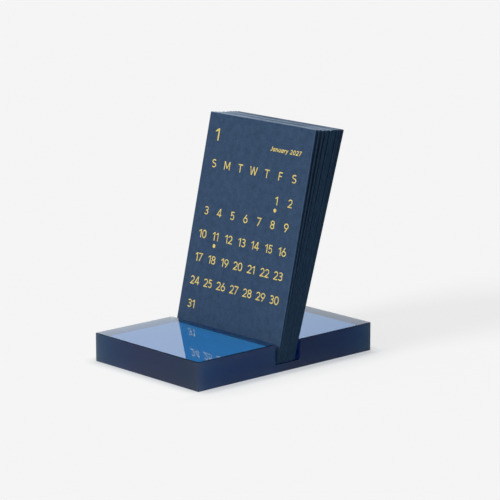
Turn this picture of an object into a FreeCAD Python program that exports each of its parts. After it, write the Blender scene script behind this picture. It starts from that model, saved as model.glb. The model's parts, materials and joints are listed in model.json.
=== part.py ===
import FreeCAD, Part
import os
import Sketcher

# A desk calendar: a solid block of tinted acrylic with one slot milled across its top, and twelve
# loose month cards that stand in the slot side by side and lean back on its rear lip.
#
# Frame: X runs along the slot, +Y to the back and +Z up. The printed faces look towards -Y.
# The origin is the centre of the block's underside. Lengths are in millimetres, angles in degrees.

# The driving sizes. Every other size and place is worked out from these and the shares below.
DRIVING_SIZES = {
    # One month card, a stiff board cut square
    "card_width": 79.7,
    "card_height": 119.65,
    "card_thickness": 0.95,
    # The block, as wide as the cards and their play
    "block_depth": 120,
    "block_height": 15,
    "slot_floor": 4.5,
    "edge_chamfer": 0.3,
    # How the cards stand: the first card's lean, and how much more the last one leans
    "front_tilt": 12.8,
    "fan_opening": 3.8,
    # The room that loose cards need
    "side_play": 0.15,
    "front_clearance": 1.24,
    "foot_gap": 0.02,
    "lean_clearance": 0.05,
    "seat_clearance": 0.02,
    # How far a cut runs past the block
    "cut_overrun": 2,
}

# The cards from the front of the stack to its back
MONTHS = (
    "january",
    "february",
    "march",
    "april",
    "may",
    "june",
    "july",
    "august",
    "september",
    "october",
    "november",
    "december",
)

# How much of the fan opens behind each card but the last: most of it behind the first three, the
# fifth and the last few, while the cards between them stand close together
FAN_SHARES = (0.16, 0.225, 0.152, 0.008, 0.13, 0.008, 0.008, 0.009, 0.103, 0.078, 0.119)

# Where each card stands across the slot, from -1 to 1 in shares of the play at its side
SIDE_SHARES = (-1.0, 0.2, 0.5, -0.2, 0.3, 0.6, -0.3, 0.4, -0.1, 0.5, 0.1, -0.4)

# How closely a cut's volume has to agree with its sizes, and how near two equal places lie
VOLUME_TOLERANCE_SHARE = 1e-6
SAME_PLACE = 1e-6


def write_cells(sheet, contents):
    """Write one row for each name, with the name beside its value, and the name as its alias."""
    for row, (alias, content) in enumerate(contents.items(), start=1):
        value_cell = "B%d" % row
        sheet.set("A%d" % row, alias)
        sheet.set(value_cell, content)
        sheet.setAlias(value_cell, alias)


def driving_sheet(doc):
    """The sheet of driving sizes, as plain numbers."""
    sheet = doc.addObject("Spreadsheet::Sheet", "Driving")
    write_cells(sheet, {alias: str(value) for alias, value in DRIVING_SIZES.items()})
    doc.recompute()
    return sheet


def stack_sheet(doc):
    """The sheet that works out how each card leans and where its foot is behind the slot's front wall.

    The gaps of the fan add up to its opening, from the first card's tilt to the last one's. A card
    stands on its lower back edge. Its front face starts where the back face of the card before it
    passes the same height, plus the gap at the foot. The slot ends where the last card's back face
    passes its rear lip.
    """
    cells = {}
    opened_share = 0
    for month, gap_share in zip(MONTHS, (0,) + FAN_SHARES):
        opened_share += gap_share / sum(FAN_SHARES)
        cells["tilt_" + month] = "=(Driving.front_tilt + %.6f * Driving.fan_opening) * 1 deg" % opened_share
    thickness = "Driving.card_thickness"
    cells["foot_" + MONTHS[0]] = "=Driving.front_clearance"
    for before, month in zip(MONTHS, MONTHS[1:]):
        across = "%s * cos(tilt_%s)" % (thickness, before)
        lifted = "%s * sin(tilt_%s) * tan(tilt_%s)" % (thickness, month, before)
        cells["foot_" + month] = "=foot_%s + %s + %s + Driving.foot_gap" % (before, across, lifted)
    last = MONTHS[-1]
    cells["block_width"] = "=Driving.card_width + 2 * Driving.side_play"
    cells["slot_depth"] = "=Driving.block_height - Driving.slot_floor"
    cells["lip_height"] = "=slot_depth - Driving.edge_chamfer - Driving.seat_clearance"
    back_foot = "foot_%s + %s * cos(tilt_%s)" % (last, thickness, last)
    cells["slot_width"] = "=%s + lip_height * tan(tilt_%s) + Driving.lean_clearance" % (back_foot, last)
    sheet = doc.addObject("Spreadsheet::Sheet", "Stack")
    write_cells(sheet, cells)
    doc.recompute()
    return sheet


def centred_rectangle(body, name, along_x, along_y):
    """A sketch on the body's own XY plane with a rectangle centred on the origin."""
    sketch = body.newObject("Sketcher::SketchObject", name)
    plane = next(feature for feature in body.Origin.OriginFeatures if feature.Role == "XY_Plane")
    sketch.AttachmentSupport = [(plane, "")]
    sketch.MapMode = "FlatFace"
    # The corners of a unit rectangle, which the two named distances then size
    corners = [FreeCAD.Vector(x, y, 0) for x, y in ((-1, -1), (1, -1), (1, 1), (-1, 1))]
    for start, end in zip(corners, corners[1:] + corners[:1]):
        sketch.addGeometry(Part.LineSegment(start, end), False)
    for side in range(4):
        sketch.addConstraint(Sketcher.Constraint("Coincident", side, 2, (side + 1) % 4, 1))
        direction = "Vertical" if side % 2 else "Horizontal"
        sketch.addConstraint(Sketcher.Constraint(direction, side))
    # The first and third corners lie opposite each other about the origin, which is point 1 of -1
    sketch.addConstraint(Sketcher.Constraint("Symmetric", 0, 1, 1, 2, -1, 1))
    width = sketch.addConstraint(Sketcher.Constraint("DistanceX", 0, 1, 0, 2, 2))
    sketch.renameConstraint(width, "along_x")
    depth = sketch.addConstraint(Sketcher.Constraint("DistanceY", 1, 1, 1, 2, 2))
    sketch.renameConstraint(depth, "along_y")
    sketch.setExpression("Constraints.along_x", along_x)
    sketch.setExpression("Constraints.along_y", along_y)
    return sketch


def outer_edges(shape, floor):
    """The names of a slotted block's edges, apart from the two inner ones along the slot's floor."""
    names = []
    for number, edge in enumerate(shape.Edges, start=1):
        start, end = [vertex.Point for vertex in edge.Vertexes]
        on_floor = max(abs(start.z - floor), abs(end.z - floor)) < SAME_PLACE
        along_slot = abs(start.y - end.y) < SAME_PLACE
        if not (on_floor and along_slot):
            names.append("Edge%d" % number)
    return names


def build_block(doc, driving, stack):
    """The stand: a block, a slot milled across it from above, and small chamfers on its outer edges."""
    body = doc.addObject("PartDesign::Body", "stand_block")
    body.Label = "stand_block"
    outline = centred_rectangle(body, "block_outline", "Stack.block_width", "Driving.block_depth")
    blank = body.newObject("PartDesign::Pad", "block_blank")
    blank.Profile = outline
    blank.setExpression("Length", "Driving.block_height")
    doc.recompute()

    across = "Stack.block_width + 2 * Driving.cut_overrun"
    mouth = centred_rectangle(body, "slot_mouth", across, "Stack.slot_width")
    mouth.setExpression("AttachmentOffset.Base.z", "Driving.block_height")
    slot = body.newObject("PartDesign::Pocket", "card_slot")
    slot.Profile = mouth
    slot.setExpression("Length", "Stack.slot_depth")
    doc.recompute()
    cut_volume = blank.Shape.Volume - slot.Shape.Volume
    stated_volume = float(stack.block_width) * float(stack.slot_width) * float(stack.slot_depth)
    if abs(cut_volume - stated_volume) > VOLUME_TOLERANCE_SHARE * stated_volume:
        raise RuntimeError("the slot cut %.3f of its %.3f cubic millimetres" % (cut_volume, stated_volume))

    eased = body.newObject("PartDesign::Chamfer", "eased_edges")
    eased.Base = (slot, outer_edges(slot.Shape, float(driving.slot_floor)))
    eased.setExpression("Size", "Driving.edge_chamfer")
    body.Tip = eased
    doc.recompute()
    return body


def build_card(doc, month, side_share):
    """One month card: a flat board that stands on its lower back edge and leans back by its tilt."""
    card = doc.addObject("Part::Box", "card_" + month)
    card.Label = "card_" + month
    card.setExpression("Length", "Driving.card_width")
    card.setExpression("Width", "Driving.card_thickness")
    card.setExpression("Height", "Driving.card_height")
    left = "%.3f * Driving.side_play - Driving.card_width / 2" % side_share
    front = "Stack.foot_%s - Stack.slot_width / 2" % month
    lifted = "Driving.card_thickness * sin(Stack.tilt_%s)" % month
    foot = "Driving.slot_floor + Driving.seat_clearance + " + lifted
    lean = "rotation(vector(1; 0; 0); -Stack.tilt_%s)" % month
    card.setExpression("Placement", "placement(vector(%s; %s; %s); %s)" % (left, front, foot, lean))
    return card


def check_document(doc, subparts):
    """Stop if an object failed, or a sub-part has no single valid solid."""
    for thing in doc.Objects:
        if "Invalid" in thing.State or "Error" in thing.State:
            raise RuntimeError("%s failed: %s" % (thing.Name, thing.State))
    for subpart in subparts:
        shape = subpart.Shape
        if shape.isNull() or not shape.isValid() or len(shape.Solids) != 1:
            raise RuntimeError("%s has no single valid solid" % subpart.Label)


def main():
    doc = FreeCAD.newDocument("desk_calendar")
    driving = driving_sheet(doc)
    stack = stack_sheet(doc)
    subparts = [build_block(doc, driving, stack)]
    for month, side_share in zip(MONTHS, SIDE_SHARES):
        subparts.append(build_card(doc, month, side_share))
    doc.recompute()
    check_document(doc, subparts)

    os.makedirs("parts", exist_ok=True)
    for subpart in subparts:
        subpart.Shape.exportStep(os.path.join("parts", subpart.Label + ".step"))
    whole = Part.makeCompound([subpart.Shape for subpart in subparts]).BoundBox
    print("slot %.3f wide and %.3f deep" % (float(stack.slot_width), float(stack.slot_depth)))
    print("%d solids in %.2f x %.2f x %.2f mm" % (len(subparts), whole.XLength, whole.YLength, whole.ZLength))
    return doc


main()
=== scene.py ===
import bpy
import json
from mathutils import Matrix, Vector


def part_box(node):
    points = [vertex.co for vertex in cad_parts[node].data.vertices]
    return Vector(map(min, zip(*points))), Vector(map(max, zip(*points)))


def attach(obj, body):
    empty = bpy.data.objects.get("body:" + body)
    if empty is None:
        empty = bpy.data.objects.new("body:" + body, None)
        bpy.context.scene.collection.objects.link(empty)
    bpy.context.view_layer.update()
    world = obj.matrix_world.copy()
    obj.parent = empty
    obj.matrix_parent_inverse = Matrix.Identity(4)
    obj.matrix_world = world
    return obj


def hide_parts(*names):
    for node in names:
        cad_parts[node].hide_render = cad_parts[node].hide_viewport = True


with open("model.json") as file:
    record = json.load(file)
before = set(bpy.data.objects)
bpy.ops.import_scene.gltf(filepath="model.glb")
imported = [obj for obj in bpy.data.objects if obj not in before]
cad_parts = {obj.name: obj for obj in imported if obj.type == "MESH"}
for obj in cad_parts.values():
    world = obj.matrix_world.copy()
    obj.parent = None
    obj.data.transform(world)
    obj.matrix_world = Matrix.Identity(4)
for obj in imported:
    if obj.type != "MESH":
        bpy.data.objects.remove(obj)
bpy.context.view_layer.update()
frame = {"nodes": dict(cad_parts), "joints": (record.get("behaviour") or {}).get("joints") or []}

import calendar
import json
import math

import bpy
import numpy as np
from mathutils import Vector, geometry

# A desk calendar: loose month cards that lean back in the slot of a tinted acrylic block.
# Everything is in metres in the frame of the solids: X along the slot, +Y to the back, +Z up.

MM = 0.001
# How near two points lie that count as one place
SAME_PLACE = 0.01 * MM
YEAR = 2027
MONTHS = [name.lower() for name in calendar.month_name[1:]]

# The camera that the photograph's corners give
CAMERA_AZIMUTH = math.radians(47.570)
CAMERA_ELEVATION = math.radians(12.437)
CAMERA_DISTANCE = 1.2322
CAMERA_AIM = (0.01199, 0.0, 0.05796)
SENSOR_WIDTH = 36.0
LENS_IN_FRAMES = 2413.69 / 500

# A card's board: how far its corners, its front edges and its back edges are rounded
CORNER_RADIUS = 0.25 * MM
FRONT_RADIUS = 0.30 * MM
BACK_RADIUS = 0.10 * MM
CORNER_STEPS = 4
EDGE_STEPS = 4

# The board's and the foil's colours on screen, each a darker and a paler one that fibres, streaks or
# grain run between
FACE_COLOURS = (39, 59, 84), (62, 84, 112)
# The cut sides: the board's colour darkened by painted shade
SHADED_SIDE_COLOURS = (21, 49, 73), (38, 71, 101)
LIT_FRONT_EDGE_COLOURS = (58, 80, 108), (76, 98, 126)
# The top edges: pale, a painted highlight
TOP_HIGHLIGHT_COLOURS = (84, 102, 124), (148, 164, 184)
# The top edges of the last months: a weaker painted highlight
WEAK_TOP_HIGHLIGHT_COLOURS = (62, 78, 100), (112, 128, 150)
FOIL_COLOURS = (199, 179, 92), (222, 202, 116)

# The foil is part metal and part lacquer
FOIL_METAL_SHARE = 0.35
FOIL_ROUGHNESS = (0.5, 0.62)

# The patterns' scales, in turns a metre
CLOUD_SCALE = 300.0
FIBRE_SCALE = 2900.0
STREAK_SCALE = 1400.0
FOIL_GRAIN_SCALE = 900.0
POLISH_WAVE_SCALE = 90.0

# How much of a board's colour its clouds give, the fine fibres giving the rest
CLOUD_SHARE = 0.28
# How far the streaks on the top edges are drawn out: along the board, through it and up it
STREAK_STRETCH = (0.02, 1.0, 0.3)
# From where to where along Y the painted highlight on the top edges turns from pale to dark, towards the
# last months
TOP_HIGHLIGHT_FADE = (34.0 * MM, 36.5 * MM)

# The block's tint: what a metre of it takes away is the density times one less the colour
ACRYLIC_IOR = 1.49
ACRYLIC_DENSITY = 173.0
ACRYLIC_TINT = (0.0, 0.64, 0.9, 1.0)
# The extra shine of its polished faces
POLISH = 0.25
# Its frosted faces: their colour, roughness, shine and the share of light that they let through,
# and how much of it they scatter and in what colour
SAWN_COLOUR = (0.2, 0.2, 0.2, 1.0)
SAWN_ROUGHNESS = 0.6
SAWN_ROUGHNESS_SPREAD = 0.04
SAWN_SHINE = 0.1
SAWN_PASS = 0.8
SCATTER_SHARE = 0.4
SCATTER_COLOUR = (0.54, 0.6, 0.76, 1.0)
# Its slot, and its eased edges, which are painted dark with painted shade
MILLED_COLOUR = 0.5
MILLED_ROUGHNESS = 1.0
MILLED_SHINE = 0.05
MILLED_PASS = 1.0
EASED_SHADE_COLOUR = 0.02

# How far a surface faces up or down, from 0 to 1, on an eased edge and on a level face
EASED_SLOPE = (0.3, 0.6)
LEVEL_SLOPE = (0.75, 0.95)
# The slot's walls and floor, by their distance past the slot's side, below its floor and below the top
PAST_SLOT_WALL = (0.4 * MM, 0.8 * MM)
BELOW_SLOT_FLOOR = (-0.5 * MM, -0.2 * MM)
BELOW_TOP = (-0.4 * MM, -0.2 * MM)

# The lettering on a card's front face, measured from the middle of its lower edge
COLUMN_PITCH = 10.15 * MM
COLUMNS_MIDDLE = -0.15 * MM
ROW_PITCH = 12.4 * MM
WEEKDAY_HEIGHT = 93.1 * MM
FIRST_ROW_HEIGHT = 80.5 * MM
SIGN_SIZE = 4.4 * MM
SIGN_GAP_SHARE = 0.095
SIGN_STROKE = 0.133
MONTH_NUMBER_SIZE = 6.4 * MM
MONTH_NUMBER_LEFT = -33.6 * MM
MONTH_NUMBER_HEIGHT = 108.3 * MM
MONTH_NUMBER_STRETCH = 1.15
LABEL_SIZE = 2.45 * MM
LABEL_RIGHT = 32.6 * MM
LABEL_BASE = 105.0 * MM
LABEL_GAP_SHARE = 0.165
LABEL_SHEAR = 0.2
LABEL_STROKE = 0.19
DOT_RADIUS = 1.02 * MM
DOT_DROP = 5.0 * MM
DOT_STEPS = 24
FOIL_THICKNESS = 0.03 * MM
FOIL_PROUD = 0.012 * MM

# A small letter's height and width, and a space, in shares of a capital's height
SMALL_HEIGHT = 0.72
SMALL_WIDTH = 0.68
SPACE_WIDTH = 0.31
# How many degrees of an oval one straight piece of it covers
OVAL_STEP = 12

# Days with a dot under them, by month
MARKED_DAYS = {
    1: (1, 11),
    2: (11, 23),
    3: (21, 22),
    4: (29,),
    5: (3, 4, 5),
    7: (19,),
    8: (11,),
    9: (20, 23),
    10: (11,),
    11: (3, 23),
}

# The room: how bright it looks to the camera, in a mirror and through the block, and how it lights
PAPER_LEVEL = 0.913
MIRROR_LEVEL = 1.0
THROUGH_LEVEL = 0.913
WORLD_LEVEL = 0.2
# How bright it looks in a mirror away from its -X side, and the directions that it fades between
MIRROR_FAR_LEVEL = 0.74
MIRROR_BAND = (-0.74, -0.66)
# The heights between which it grows darker through the block
HORIZON_BAND = (0.2, 0.6)
# What is left of its light towards +X and towards the back, and the directions that it fades between
DIM_SIDE = 0.5
DIM_SIDE_BAND = (0.1, 0.9)
DIM_BACK = 0.3
DIM_BACK_BAND = (-0.4, 0.6)

# The floor: half its width, how far it lies below the block, its own glow, and how much of what the
# camera and what rays in or through the block see of it is that glow
FLOOR_HALF = 30.0
FLOOR_DROP = 0.1 * MM
FLOOR_GLOW = 1.03
FLOOR_GLOW_SHARE = 0.7
UNDER_GLOW_SHARE = 0.7
# How far from the block its shadow reaches on all sides and how deep it is there, then the same for
# the wider shadow on its +X side, how softly that one starts, and the shadow's colour
CONTACT_REACH = 8 * MM
CONTACT_DEPTH = 0.8
SHADE_REACH = 22 * MM
SHADE_DEPTH = 0.52
SHADED_SIDE_BAND = 4 * MM
SHADE_COLOUR = (0.0, 0.07, 0.16, 1.0)
SHADE_SAMPLES = 8

# Each lamp's direction, strength and width
LAMPS = {
    "front_lamp": ((-0.11, -0.86, 0.5), 2.0, math.radians(18)),
    "ceiling_lamp": ((0.1, -0.1, 1.0), 0.8, math.radians(50)),
}


class Wire:
    """A shader socket that takes part in sums, so that maths on values reads as an expression."""

    def __init__(self, shader, socket):
        self.shader = shader
        self.socket = socket

    def maths(self, operation, *values):
        return self.shader.node("ShaderNodeMath", {"operation": operation}, dict(enumerate(values)))

    def __add__(self, other):
        return self.maths("ADD", self, other)

    __radd__ = __add__

    def __sub__(self, other):
        return self.maths("SUBTRACT", self, other)

    def __rsub__(self, other):
        return self.maths("SUBTRACT", other, self)

    def __mul__(self, other):
        return self.maths("MULTIPLY", self, other)

    __rmul__ = __mul__

    def __abs__(self):
        return self.maths("ABSOLUTE", self)

    def larger(self, other):
        return self.maths("MAXIMUM", self, other)

    def between(self, low, high, to_low=0.0, to_high=1.0):
        """The value carried smoothly from the stretch low to high to the stretch to_low to to_high."""
        settings = {"interpolation_type": "SMOOTHSTEP", "clamp": True}
        inputs = {0: self, 1: low, 2: high, 3: to_low, 4: to_high}
        return self.shader.node("ShaderNodeMapRange", settings, inputs)


class Shader:
    """A material's or a world's nodes, made by one method."""

    def __init__(self, owner):
        self.owner = owner
        owner.use_nodes = True
        self.tree = owner.node_tree
        self.tree.nodes.clear()

    def node(self, kind, settings=None, inputs=None, output=0):
        """Make a node: its settings first, then the values or links of its sockets. Gives one output."""
        made = self.tree.nodes.new(kind)
        for name, value in (settings or {}).items():
            setattr(made, name, value)
        for name, value in (inputs or {}).items():
            if isinstance(value, Wire):
                self.tree.links.new(value.socket, made.inputs[name])
            else:
                made.inputs[name].default_value = value
        return Wire(self, made.outputs[output]) if len(made.outputs) else made

    def place(self):
        return self.node("ShaderNodeTexCoord", output="Object")

    def stretched(self, x, y, z):
        """The place with each of its parts made shorter, so that a pattern on it is drawn out."""
        return self.node("ShaderNodeMapping", None, {"Vector": self.place(), "Scale": (x, y, z)})

    def parts(self, vector):
        """The three parts of a vector, as wires."""
        made = self.node("ShaderNodeSeparateXYZ", None, {"Vector": vector}).socket.node
        return [Wire(self, socket) for socket in made.outputs]

    def facing(self):
        """The three parts of the surface's own direction in its object."""
        return self.parts(self.node("ShaderNodeTexCoord", output="Normal"))

    def noise(self, scale, detail=2.0, roughness=0.5, place=None):
        inputs = {"Vector": place or self.place(), "Scale": scale}
        inputs.update({"Detail": detail, "Roughness": roughness})
        return self.node("ShaderNodeTexNoise", None, inputs)

    def blend(self, share, one, other):
        """A colour between two, by a share from 0 to 1."""
        return self.node("ShaderNodeMix", {"data_type": "RGBA"}, {0: share, 6: one, 7: other}, output=2)

    def tones(self, share, pair):
        """A colour between a pair of screen colours, by a share from 0 to 1."""
        return self.blend(share, *(colour(*tone) for tone in pair))

    def mixed(self, share, one, other):
        """A surface that is partly one shader and partly another."""
        return self.node("ShaderNodeMixShader", None, {0: share, 1: one, 2: other})

    def closed_in(self, reach):
        """How much of the space over the surface is closed in within a reach, from 0 to 1."""
        settings = {"samples": SHADE_SAMPLES}
        return 1.0 - self.node("ShaderNodeAmbientOcclusion", settings, {"Distance": reach}, output="AO")

    def bump(self, height, strength, distance):
        inputs = {"Height": height, "Strength": strength, "Distance": distance}
        return self.node("ShaderNodeBump", None, inputs)

    def principled(self, **inputs):
        named = {name.replace("_", " "): value for name, value in inputs.items()}
        return self.node("ShaderNodeBsdfPrincipled", None, named)

    def finish(self, surface, volume=None):
        inputs = {"Surface": surface}
        if volume is not None:
            inputs["Volume"] = volume
        self.node("ShaderNodeOutputMaterial", None, inputs)
        return self.owner


def shade(value):
    """A screen value from 0 to 255 as the light it stands for."""
    share = value / 255
    return share / 12.92 if share <= 0.04045 else ((share + 0.055) / 1.055) ** 2.4


def colour(red, green, blue):
    return (shade(red), shade(green), shade(blue), 1.0)


def grey(level):
    return (level, level, level, 1.0)


def new_shader(name):
    return Shader(bpy.data.materials.new(name))


def acrylic_material(block):
    """Clear acrylic with a blue tint in its depth.

    It is polished above and below, and frosted where it was sawn round its sides, which scatter part
    of the light that comes through. It is duller still where the slot was milled, and painted dark
    along its eased edges as painted shade. How far the surface faces up and where it lies tell these
    apart.
    """
    shader = new_shader("tinted_acrylic")
    _, y, z = shader.parts(shader.place())
    _, _, up = shader.facing()
    slot_half, slot_floor, top = slot_sizes(block)
    slope = abs(up)
    upright = slope.between(*LEVEL_SLOPE, 1.0, 0.0)
    eased = slope.between(*EASED_SLOPE) * upright
    over_floor = z.between(*(slot_floor + step for step in BELOW_SLOT_FLOOR))
    under_top = z.between(*(top + step for step in BELOW_TOP), 1.0, 0.0)
    across = abs(y).between(*(slot_half + step for step in PAST_SLOT_WALL), 1.0, 0.0)
    in_slot = across * over_floor * under_top
    unevenness = shader.noise(POLISH_WAVE_SCALE, 3.0)
    polished = shader.principled(
        Base_Color=grey(1.0),
        Roughness=unevenness.between(0.35, 0.7, 0.0, 0.03),
        IOR=ACRYLIC_IOR,
        Transmission_Weight=1.0,
        Coat_Weight=POLISH,
        Coat_Roughness=0.0,
        Normal=shader.bump(unevenness, 0.03, 0.05 * MM),
    )
    cloudy = shader.node("ShaderNodeBsdfTranslucent", None, {"Color": SCATTER_COLOUR})
    sawn_roughness = SAWN_ROUGHNESS - SAWN_ROUGHNESS_SPREAD, SAWN_ROUGHNESS + SAWN_ROUGHNESS_SPREAD
    frosted = shader.principled(
        Base_Color=SAWN_COLOUR,
        Roughness=unevenness.between(0.3, 0.7, *sawn_roughness),
        IOR=ACRYLIC_IOR,
        Specular_Tint=grey(SAWN_SHINE),
        Transmission_Weight=SAWN_PASS,
    )
    milled = shader.principled(
        # Painted shade: the eased edges are near black
        Base_Color=shader.blend(eased, grey(MILLED_COLOUR), grey(EASED_SHADE_COLOUR)),
        Roughness=MILLED_ROUGHNESS,
        IOR=ACRYLIC_IOR,
        Specular_Tint=grey(MILLED_SHINE),
        Transmission_Weight=MILLED_PASS,
    )
    sawn = shader.mixed(SCATTER_SHARE, frosted, cloudy)
    outside = shader.mixed(upright, polished, sawn)
    surface = shader.mixed(in_slot.larger(eased), outside, milled)
    absorbed = {"Color": ACRYLIC_TINT, "Density": ACRYLIC_DENSITY}
    return shader.finish(surface, shader.node("ShaderNodeVolumeAbsorption", None, absorbed))


def slot_sizes(block):
    """Half the slot's width, the height of its floor and the block's height.

    They are read from the block's points: those nearest the middle lie on the slot's walls, and of
    these the floor's are the ones in the block's lower half.
    """
    points = np.array([vertex.co[:] for vertex in block.data.vertices])
    top = points[:, 2].max()
    half = np.abs(points[:, 1]).min()
    on_wall = np.abs(points[:, 1]) < half + SAME_PLACE
    low = points[:, 2] < top / 2
    return half, points[on_wall & low, 2].max(), top


def board_share(shader):
    """Cloudy fibres of a dyed board, from 0 to 1, and the fine fibres alone."""
    clouds = shader.noise(CLOUD_SCALE, 3.0, 0.55)
    fibres = shader.noise(FIBRE_SCALE, 3.0, 0.7)
    return (clouds * CLOUD_SHARE + fibres * (1.0 - CLOUD_SHARE)).between(0.3, 0.7), fibres


def board_face_material():
    """The front and back of a navy dyed board: felted, with fine fibres in its colour."""
    shader = new_shader("board_face")
    share, fibres = board_share(shader)
    return shader.finish(
        shader.principled(
            Base_Color=shader.tones(share, FACE_COLOURS),
            Roughness=0.8,
            Specular_IOR_Level=0.1,
            Normal=shader.bump(fibres, 0.4, 0.03 * MM),
        )
    )


def board_edge_material():
    """The cut edges, with painted light by the way they face: painted shade makes them dark at the
    sides, and painted highlights make them paler where they face forward and palest where they face up.

    The streaks on top lie along the board. The painted highlight on the tops of the last months is
    weaker, so they are darker.
    """
    shader = new_shader("board_edge")
    share, fibres = board_share(shader)
    _, forward, up = shader.facing()
    _, back, _ = shader.parts(shader.place())
    side = shader.tones(share, SHADED_SIDE_COLOURS)
    front = shader.tones(share, LIT_FRONT_EDGE_COLOURS)
    drawn_out = shader.stretched(*STREAK_STRETCH)
    streaks = shader.noise(STREAK_SCALE, 2.0, 0.6, drawn_out).between(0.35, 0.62)
    pale = shader.tones(streaks, TOP_HIGHLIGHT_COLOURS)
    dark = shader.tones(streaks, WEAK_TOP_HIGHLIGHT_COLOURS)
    # The painted highlight on the top edges, weaker on the last months
    top = shader.blend(back.between(*TOP_HIGHLIGHT_FADE), pale, dark)
    # Painted shade at the sides, a painted highlight where the edge faces forward
    painted_edge_light = shader.blend((0.0 - forward).between(0.3, 0.8), side, front)
    return shader.finish(
        shader.principled(
            # A painted highlight where the edge faces up
            Base_Color=shader.blend(up.between(0.25, 0.7), painted_edge_light, top),
            Roughness=0.5,
            Specular_IOR_Level=0.06,
            Normal=shader.bump(fibres, 0.3, 0.03 * MM),
        )
    )


def foil_material():
    """Matt gold foil, pressed into the board."""
    shader = new_shader("gold_foil")
    grain = shader.noise(FOIL_GRAIN_SCALE, 3.0)
    return shader.finish(
        shader.principled(
            Base_Color=shader.tones(grain.between(0.35, 0.65), FOIL_COLOURS),
            Metallic=FOIL_METAL_SHARE,
            Roughness=grain.between(0.3, 0.7, *FOIL_ROUGHNESS),
            Normal=shader.bump(grain, 0.2, 0.01 * MM),
        )
    )


class Card:
    """A month card's place in the frame, read from its solid's box and the way its joint lifts it.

    The box of a board of height H and thickness T that leans back by an angle is H sin + T cos deep
    and H cos + T sin high, and both are solved for H and T. The origin is the middle of the front
    face's lower edge.
    """

    def __init__(self, month):
        lift = next(joint for joint in frame["joints"] if joint["child"] == month)
        lean_sin, lean_cos = lift["axis"][1:]
        low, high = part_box("card_" + month)
        deep, tall = high.y - low.y, high.z - low.z
        spread = lean_cos**2 - lean_sin**2
        self.height = (tall * lean_cos - deep * lean_sin) / spread
        self.thickness = (deep * lean_cos - tall * lean_sin) / spread
        self.width = high.x - low.x
        self.origin = np.array([(low.x + high.x) / 2, low.y, low.z + self.thickness * lean_sin])
        self.across = np.array([1.0, 0.0, 0.0])
        self.up = np.array([0.0, lean_sin, lean_cos])
        self.out = np.array([0.0, -lean_cos, lean_sin])

    def place(self, points):
        """Points given as (across, up, out of the front face), in the frame."""
        return self.origin + np.asarray(points, float) @ np.stack([self.across, self.up, self.out])


def mesh_piece(name, points, faces, materials, face_materials=None, flat_faces=None):
    """An object at the origin whose mesh holds these points and faces, smooth but for its flat faces."""
    mesh = bpy.data.meshes.new(name)
    mesh.from_pydata(np.asarray(points).tolist(), [], [list(face) for face in faces])
    for material in materials:
        mesh.materials.append(material)
    count = len(mesh.polygons)
    smooth = [True] * count if flat_faces is None else ~np.asarray(flat_faces)
    mesh.polygons.foreach_set("use_smooth", smooth)
    if face_materials is not None:
        mesh.polygons.foreach_set("material_index", np.asarray(face_materials, np.int32))
    mesh.update()
    piece = bpy.data.objects.new(name, mesh)
    bpy.context.scene.collection.objects.link(piece)
    return piece


def rounded_rectangle(half_width, low, high, radius, steps):
    """A closed path round a rectangle whose corners are quarter circles, anticlockwise."""
    angles = np.linspace(0, math.pi / 2, steps + 1)
    right, left = half_width, -half_width
    path = []
    for x, y, quarter in ((right, high, 0), (left, high, 1), (left, low, 2), (right, low, 3)):
        turned = angles + quarter * math.pi / 2
        inwards = np.array([x - math.copysign(radius, x), y - radius if y == high else y + radius])
        path.append(inwards + radius * np.stack([np.cos(turned), np.sin(turned)], axis=1))
    return np.concatenate(path)


def board_mesh(card):
    """The board's points and faces: its rounded outline carried through its thickness.

    Each ring of the grid is the outline drawn in by an inset at a depth behind the front face, and
    the insets and depths follow a quarter circle at the front edge and a smaller one at the back
    edge. The front and back faces close the ends.
    """
    turn = np.linspace(0, math.pi / 2, EDGE_STEPS + 1)
    drawn_in, behind = 1 - np.sin(turn), 1 - np.cos(turn)
    insets = np.concatenate([FRONT_RADIUS * drawn_in, BACK_RADIUS * drawn_in[::-1]])
    depths = np.concatenate([FRONT_RADIUS * behind, card.thickness - BACK_RADIUS * behind[::-1]])
    rings = []
    for inset, depth in zip(insets, depths):
        radius = CORNER_RADIUS + FRONT_RADIUS - inset
        half_width, high = card.width / 2 - inset, card.height - inset
        path = rounded_rectangle(half_width, inset, high, radius, CORNER_STEPS)
        rings.append(np.column_stack([path, np.full(len(path), -depth)]))
    points = card.place(np.concatenate(rings))
    around = len(rings[0])
    start = np.arange(around)
    following = (start + 1) % around
    faces = []
    for ring in range(len(rings) - 1):
        here, behind = ring * around, (ring + 1) * around
        quads = np.stack([start + here, start + behind, following + behind, following + here], axis=1)
        faces.extend(quads.tolist())
    sides = len(faces)
    faces.append(start.tolist())
    faces.append((start[::-1] + (len(rings) - 1) * around).tolist())
    return points, faces, sides


def make_board(month, card, face_material, edge_material):
    """One month card's board, which stands for its solid."""
    points, faces, sides = board_mesh(card)
    is_face = np.arange(len(faces)) >= sides
    materials = (edge_material, face_material)
    piece = mesh_piece("board_" + month, points, faces, materials, is_face.astype(np.int32), is_face)
    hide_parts("card_" + month)
    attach(piece, month)
    return piece


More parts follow.
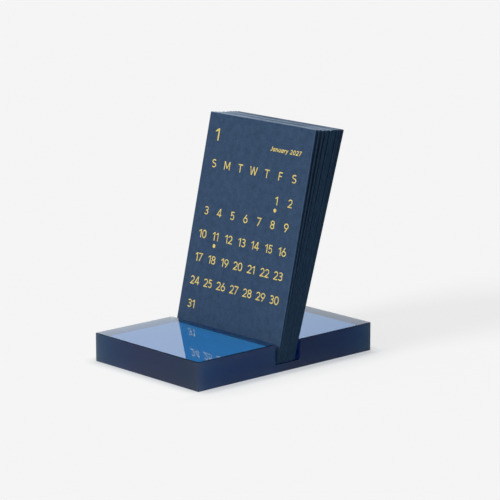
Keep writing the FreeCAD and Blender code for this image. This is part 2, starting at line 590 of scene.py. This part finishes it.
class Pen:
    """Draws signs as strokes of one width, in shares of the height of a capital.

    A bar gives its left, right, lower and upper edge. A slant gives its two ends, and is cut level
    there. An oval gives its middle, its two radii and the two angles that it runs between, along
    the middle of the stroke.
    """

    def __init__(self, stroke):
        self.stroke = stroke
        self.half = stroke / 2

    def bar(self, left, right, low, high):
        return [np.array([(left, low), (right, low), (right, high), (left, high)])]

    def stem(self, left, low=0.0, high=1.0):
        return self.bar(left, left + self.stroke, low, high)

    def beam(self, left, right, low):
        return self.bar(left, right, low, low + self.stroke)

    def slant(self, x0, y0, x1, y1):
        half = self.half * math.hypot(x1 - x0, y1 - y0) / abs(y1 - y0)
        corners = np.array([(x0 - half, y0), (x0 + half, y0), (x1 + half, y1), (x1 - half, y1)])
        return [corners if y1 > y0 else corners[::-1]]

    def oval(self, x, y, across, up, first, last, power=2.0):
        """A stroke round an oval.

        A point turns about the middle, and the stroke's sides lie square to its way. A power over 2
        makes the oval squarer.
        """
        steps = max(2, round(abs(last - first) / OVAL_STEP))
        angles = np.radians(np.linspace(first, last, steps + 1))
        cos, sin = np.cos(angles), np.sin(angles)
        along_x = np.sign(cos) * np.abs(cos) ** (2 / power)
        along_y = np.sign(sin) * np.abs(sin) ** (2 / power)
        middle = np.stack([x + across * along_x, y + up * along_y], axis=1)
        square = np.stack([cos / across, sin / up], axis=1)
        square /= np.linalg.norm(square, axis=1)[:, None]
        outer, inner = middle + self.half * square, middle - self.half * square
        quads = np.stack([inner[:-1], outer[:-1], outer[1:], inner[1:]], axis=1)
        return [quad if last > first else quad[::-1] for quad in quads]

    def double_bowl(self, width, waist, top_turn, low_turn):
        """The two bowls that 3, 8 and S are drawn from, each with the angles it runs between."""
        middle, reach = width / 2, width / 2 - self.half
        top_up, low_up = (1 - self.half - waist) / 2, (waist - self.half) / 2
        upper = self.oval(middle, 1 - self.half - top_up, reach - 0.025, top_up, *top_turn)
        return upper + self.oval(middle, self.half + low_up, reach, low_up, *low_turn)


def digit_table(pen):
    """Each digit's width and strokes."""
    stroke, half = pen.stroke, pen.half
    waist = 0.53
    table = {}
    table["0"] = 0.73, pen.oval(0.365, 0.5, 0.365 - half, 0.5 - half, 0, 360, 2.25)
    flag = [np.array([(0.02, 0.79), (0.05, 0.69), (0.38, 0.84), (0.38, 1.0), (0.34, 1.0)])]
    table["1"] = 0.50, pen.stem(0.45 - stroke) + flag
    reach, up, turn = 0.345 - half, 0.265, math.radians(-38)
    neck = 0.345 + reach * math.cos(turn), 1 - half - up + up * math.sin(turn)
    table["2"] = 0.69, (
        pen.oval(0.345, 1 - half - up, reach, up, 165, -38)
        + pen.slant(*neck, 0.09, half)
        + pen.beam(0, 0.69, 0)
    )
    table["3"] = 0.70, (
        pen.double_bowl(0.70, waist, (150, -90), (90, -150)) + pen.beam(0.24, 0.36, waist - half)
    )
    table["4"] = 0.80, (
        pen.slant(0.075, 0.27, 0.55, 1.0)
        + pen.beam(0, 0.80, 0.2)
        + pen.stem(0.50)
        + pen.beam(0.03, 0.3, 0.2)
    )
    table["5"] = 0.66, (
        pen.beam(0.10, 0.61, 1 - stroke)
        + pen.stem(0.075, 0.47)
        + pen.oval(0.33, half + 0.275, 0.33 - half, 0.275, 132, -150)
    )
    bowl = 0.265
    table["6"] = 0.74, (
        pen.oval(0.37, half + bowl, 0.37 - half, bowl, 0, 360) + pen.slant(0.125, 0.46, 0.475, 1.0)
    )
    table["7"] = 0.70, pen.beam(0, 0.70, 1 - stroke) + pen.slant(0.19, 0, 0.63, 1)
    table["8"] = 0.70, pen.double_bowl(0.70, waist, (0, 360), (0, 360))
    table["9"] = 0.74, [np.array([0.74, 1.0]) - quad for quad in table["6"][1]]
    return table


def capital_table(pen):
    """Each capital's width and strokes, of those that the weekdays and months begin with."""
    stroke, half = pen.stroke, pen.half
    table = {}
    table["S"] = 0.74, pen.double_bowl(0.74, 0.53, (35, 270), (90, -145))
    table["M"] = 1.0, (
        pen.stem(0)
        + pen.stem(1.0 - stroke)
        + pen.slant(0.5, 0.16, 0.08, 1)
        + pen.slant(0.5, 0.16, 0.92, 1)
    )
    table["T"] = 0.78, pen.beam(0, 0.78, 1 - stroke) + pen.stem(0.39 - half)
    table["W"] = 1.30, (
        pen.slant(0.36, 0, 0.07, 1)
        + pen.slant(0.36, 0, 0.65, 1)
        + pen.slant(0.94, 0, 0.65, 1)
        + pen.slant(0.94, 0, 1.23, 1)
    )
    table["F"] = 0.62, pen.stem(0) + pen.beam(0, 0.62, 1 - stroke) + pen.beam(0, 0.54, 0.44)
    table["A"] = 0.84, (
        pen.slant(0.08, 0, 0.40, 1) + pen.slant(0.76, 0, 0.44, 1) + pen.beam(0.16, 0.68, 0.22)
    )
    table["D"] = 0.76, (
        pen.stem(0)
        + pen.beam(0, 0.3, 0)
        + pen.beam(0, 0.3, 1 - stroke)
        + pen.oval(0.3, 0.5, 0.46 - half, 0.5 - half, -90, 90, 2.3)
    )
    table["J"] = 0.52, (
        pen.stem(0.52 - stroke, 0.25) + pen.oval(0.25, 0.25, 0.27 - half, 0.25 - half, -160, 0)
    )
    table["N"] = 0.78, pen.stem(0) + pen.stem(0.78 - stroke) + pen.slant(0.70, 0, 0.08, 1)
    table["O"] = 0.90, pen.oval(0.45, 0.5, 0.45 - half, 0.5 - half, 0, 360)
    return table


def small_table(pen):
    """Each small letter's width and strokes, of those that the months' names hold."""
    stroke, half = pen.stroke, pen.half
    small, width = SMALL_HEIGHT, SMALL_WIDTH
    middle, reach = width / 2, width / 2 - half
    ring = pen.oval(middle, small / 2, reach, small / 2 - half, 0, 360)
    right_stem = pen.stem(width - stroke, 0, small)
    left_stem = pen.stem(0, 0, small)
    arch = pen.oval(middle, small - middle, reach, middle - half, 0, 180)
    leg = pen.stem(width - stroke, 0, small - middle)
    step = np.array([width - stroke, 0])
    cup = [np.array([width, small]) - quad for quad in arch + leg]
    squeeze = np.array([0.72, small])
    curl = [quad * squeeze for quad in pen.double_bowl(0.70, 0.53, (35, 270), (90, -145))]
    table = {}
    table["a"] = width, ring + right_stem
    table["b"] = width, ring + pen.stem(0)
    table["c"] = width - 0.06, pen.oval(middle, small / 2, reach, small / 2 - half, 45, 315)
    table["e"] = width, (
        pen.oval(middle, small / 2, reach, small / 2 - half, 0, 315) + pen.beam(half, width - half, 0.29)
    )
    table["g"] = width, (
        ring + pen.stem(width - stroke, -0.1, small) + pen.oval(middle, -0.1, reach, 0.14, 0, -150)
    )
    table["h"] = width, pen.stem(0) + arch + leg
    table["i"] = stroke, left_stem + pen.stem(0, 0.86, 1)
    table["l"] = stroke, pen.stem(0)
    table["m"] = 2 * width - stroke, left_stem + arch + leg + [quad + step for quad in arch + leg]
    table["n"] = width, left_stem + arch + leg
    table["o"] = width, ring
    table["p"] = width, ring + pen.stem(0, -0.28, small)
    table["r"] = 0.42, left_stem + pen.oval(middle, small - middle, reach, middle - half, 70, 180)
    table["s"] = 0.51, curl
    table["t"] = 0.42, pen.stem(0.12, 0, 0.94) + pen.beam(0, 0.42, small - stroke)
    table["u"] = width, right_stem + cup
    table["v"] = 0.62, pen.slant(0.29, 0, 0.08, small) + pen.slant(0.33, 0, 0.54, small)
    table["y"] = 0.62, pen.slant(0.15, -0.28, 0.54, small) + pen.slant(0.32, 0.06, 0.08, small)
    return table


class Alphabet:
    """Signs of one stroke width, each as triangles in shares of the height of a capital."""

    def __init__(self, stroke):
        pen = Pen(stroke)
        drawn = {**digit_table(pen), **capital_table(pen), **small_table(pen)}
        self.signs = {sign: (width, *self.merged(strokes)) for sign, (width, strokes) in drawn.items()}
        self.signs[" "] = SPACE_WIDTH, np.zeros((0, 2)), np.zeros((0, 3), int)

    @staticmethod
    def merged(strokes):
        """The strokes' common area as triangles.

        Crossing strokes leave one surface, and holes stay open.
        """
        corners = [Vector(point) for quad in strokes for point in quad]
        faces, start = [], 0
        for quad in strokes:
            faces.append(list(range(start, start + len(quad))))
            start += len(quad)
        points, _, triangles, _, _, origins = geometry.delaunay_2d_cdt(corners, [], faces, 1, 1e-5)
        filled = [triangle for triangle, origin in zip(triangles, origins) if origin]
        return np.array([point[:] for point in points]), np.array(filled)

    def width(self, text, size, gap, stretch=1.0):
        return size * (sum(self.signs[sign][0] * stretch for sign in text) + gap * (len(text) - 1))


class Sheet:
    """Lettering laid out flat, as points and triangles."""

    def __init__(self):
        self.points, self.faces, self.count = [], [], 0

    def add(self, points, triangles):
        self.points.append(points)
        self.faces.append(triangles + self.count)
        self.count += len(points)

    def write(self, alphabet, text, size, left, low, gap, stretch=1.0, shear=0.0):
        """Write text from its left end, low being its base line."""
        for sign in text:
            width, points, triangles = alphabet.signs[sign]
            across = points[:, 0] * stretch + shear * points[:, 1]
            self.add(np.stack([left + size * across, low + size * points[:, 1]], axis=1), triangles)
            left += size * (width * stretch + gap)

    def centre(self, alphabet, text, size, middle, height, gap):
        left = middle - alphabet.width(text, size, gap) / 2
        self.write(alphabet, text, size, left, height - size / 2, gap)

    def dot(self, x, y, radius):
        """A round dot: equal wedges about its middle."""
        angles = np.linspace(0, 2 * math.pi, DOT_STEPS, endpoint=False)
        rim = np.stack([x + radius * np.cos(angles), y + radius * np.sin(angles)], axis=1)
        start = np.arange(DOT_STEPS)
        wedges = np.stack([np.zeros(DOT_STEPS, int), start + 1, (start + 1) % DOT_STEPS + 1], axis=1)
        self.add(np.concatenate([[(x, y)], rim]), wedges)


def month_sheet(number):
    """The sheet of one month: its number, weekday initials, day numbers, dots and label."""
    sheet = Sheet()
    for column, initial in enumerate("SMTWTFS"):
        middle = COLUMNS_MIDDLE + (column - 3) * COLUMN_PITCH
        sheet.centre(MAIN_SIGNS, initial, SIGN_SIZE, middle, WEEKDAY_HEIGHT, SIGN_GAP_SHARE)
    first, days = calendar.monthrange(YEAR, number)
    lead = (first + 1) % 7
    for day in range(1, days + 1):
        row, column = divmod(lead + day - 1, 7)
        middle = COLUMNS_MIDDLE + (column - 3) * COLUMN_PITCH
        height = FIRST_ROW_HEIGHT - row * ROW_PITCH
        sheet.centre(MAIN_SIGNS, str(day), SIGN_SIZE, middle, height, SIGN_GAP_SHARE)
        if day in MARKED_DAYS.get(number, ()):
            sheet.dot(middle, height - DOT_DROP, DOT_RADIUS)
    low = MONTH_NUMBER_HEIGHT - MONTH_NUMBER_SIZE / 2
    size, stretch = MONTH_NUMBER_SIZE, MONTH_NUMBER_STRETCH
    sheet.write(MAIN_SIGNS, str(number), size, MONTH_NUMBER_LEFT, low, SIGN_GAP_SHARE, stretch)
    label = "%s %d" % (calendar.month_name[number], YEAR)
    width = LABEL_SIGNS.width(label, LABEL_SIZE, LABEL_GAP_SHARE)
    left = LABEL_RIGHT - LABEL_SHEAR * LABEL_SIZE - width
    sheet.write(LABEL_SIGNS, label, LABEL_SIZE, left, LABEL_BASE, LABEL_GAP_SHARE, 1.0, LABEL_SHEAR)
    return sheet


def make_print(number, month, card, foil):
    """The gold lettering on one card: its sheet laid on the front face and given a foil's thickness."""
    sheet = month_sheet(number)
    flat = np.concatenate(sheet.points)
    points = card.place(np.column_stack([flat, np.full(len(flat), FOIL_PROUD)]))
    faces = np.concatenate(sheet.faces)
    piece = mesh_piece("print_" + month, points, faces, (foil,), None, np.ones(len(faces), bool))
    wall = piece.modifiers.new("foil_thickness", "SOLIDIFY")
    wall.thickness = FOIL_THICKNESS
    wall.offset = -1
    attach(piece, month)
    return piece


def make_camera():
    """The camera at the photograph's viewing angle."""
    data = bpy.data.cameras.new("photo_camera")
    data.sensor_width = SENSOR_WIDTH
    data.lens = SENSOR_WIDTH * LENS_IN_FRAMES
    data.clip_end = 100.0
    camera = bpy.data.objects.new("photo_camera", data)
    level = math.cos(CAMERA_ELEVATION)
    aside, forward = math.sin(CAMERA_AZIMUTH) * level, -math.cos(CAMERA_AZIMUTH) * level
    away = Vector((aside, forward, math.sin(CAMERA_ELEVATION)))
    camera.location = Vector(CAMERA_AIM) + CAMERA_DISTANCE * away
    camera.rotation_euler = (-away).to_track_quat("-Z", "Y").to_euler()
    bpy.context.scene.collection.objects.link(camera)
    bpy.context.scene.camera = camera


def looked_at(shader):
    """Three wires, each 1 for its own rays and else 0.

    These are rays from the camera, from a mirror and through a clear body. Rays that have passed
    through clear acrylic count as mirrored too.
    """
    path = shader.tree.nodes.new("ShaderNodeLightPath")
    names = ("Is Camera Ray", "Is Glossy Ray", "Is Transmission Ray")
    return [Wire(shader, path.outputs[name]) for name in names]


def make_floor():
    """A wide floor of white paper.

    What looks at it sees it part lit by itself, so that shadows stay soft. For the camera that glow
    is weaker close to the block, and further out on its +X side, which is away from the light.
    """
    signs = ((-1, -1), (1, -1), (1, 1), (-1, 1))
    corners = [(x * FLOOR_HALF, y * FLOOR_HALF, -FLOOR_DROP) for x, y in signs]
    shader = new_shader("floor_paper")
    paper = shader.node("ShaderNodeBsdfDiffuse", None, {"Color": grey(PAPER_LEVEL)})
    x, _, _ = shader.parts(shader.place())
    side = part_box("stand_block")[1].x
    beside = x.between(side, side + SHADED_SIDE_BAND)
    seen, mirrored, _ = looked_at(shader)
    contact = shader.closed_in(CONTACT_REACH) * CONTACT_DEPTH
    shade = contact + shader.closed_in(SHADE_REACH) * beside * SHADE_DEPTH
    glowing = shader.blend(shade * seen, grey(FLOOR_GLOW), SHADE_COLOUR)
    glow = shader.node("ShaderNodeEmission", None, {"Color": glowing})
    share = (seen * FLOOR_GLOW_SHARE).larger(mirrored * UNDER_GLOW_SHARE)
    shader.finish(shader.mixed(share, paper, glow))
    mesh_piece("floor", corners, [(0, 1, 2, 3)], (shader.owner,), None, [True])


def make_room():
    """A white room, which lights the object at a lower level than it shows.

    Its light is weaker towards +X and the back. A mirror shows it brightest on its -X side, and
    through the block its upper part is darker.
    """
    world = bpy.data.worlds.new("white_room")
    room = Shader(world)
    seen, mirrored, passed = looked_at(room)
    aside, back, rise = room.parts(room.node("ShaderNodeTexCoord", output="Generated"))
    flagged = aside.between(*DIM_SIDE_BAND, 1.0, DIM_SIDE)
    shaded = back.between(*DIM_BACK_BAND, 1.0, DIM_BACK)
    lower = rise.between(*HORIZON_BAND, 1.0, 0.0)
    through = room.blend(lower, grey(WORLD_LEVEL), room.blend(shaded, grey(0.0), grey(THROUGH_LEVEL)))
    around = room.blend(shaded, grey(0.0), grey(WORLD_LEVEL))
    reflected = room.blend(aside.between(*MIRROR_BAND), grey(MIRROR_LEVEL), grey(MIRROR_FAR_LEVEL))
    lit = room.blend(flagged, grey(0.0), room.blend(mirrored, around, reflected))
    plain = room.blend(seen, room.blend(passed, lit, through), grey(PAPER_LEVEL))
    shown = room.node("ShaderNodeBackground", None, {"Color": plain})
    room.node("ShaderNodeOutputWorld", None, {"Surface": shown})
    bpy.context.scene.world = world


def make_lamp(name, direction, strength, spread):
    """A wide soft lamp far away in one direction."""
    lamp = bpy.data.lights.new(name, "SUN")
    lamp.energy = strength
    lamp.angle = spread
    sun = bpy.data.objects.new(name, lamp)
    sun.rotation_euler = Vector(direction).to_track_quat("Z", "Y").to_euler()
    bpy.context.scene.collection.objects.link(sun)


block = frame["nodes"]["stand_block"]
MAIN_SIGNS = Alphabet(SIGN_STROKE)
LABEL_SIGNS = Alphabet(LABEL_STROKE)

make_camera()
make_floor()
make_room()
for name, (direction, strength, spread) in LAMPS.items():
    make_lamp(name, direction, strength, spread)

block.data.materials.clear()
block.data.materials.append(acrylic_material(block))

board_face = board_face_material()
board_edge = board_edge_material()
gold_foil = foil_material()
for number, month in enumerate(MONTHS, start=1):
    card = Card(month)
    make_board(month, card, board_face, board_edge)
    make_print(number, month, card, gold_foil)

bpy.context.scene.view_settings.view_transform = "Standard"
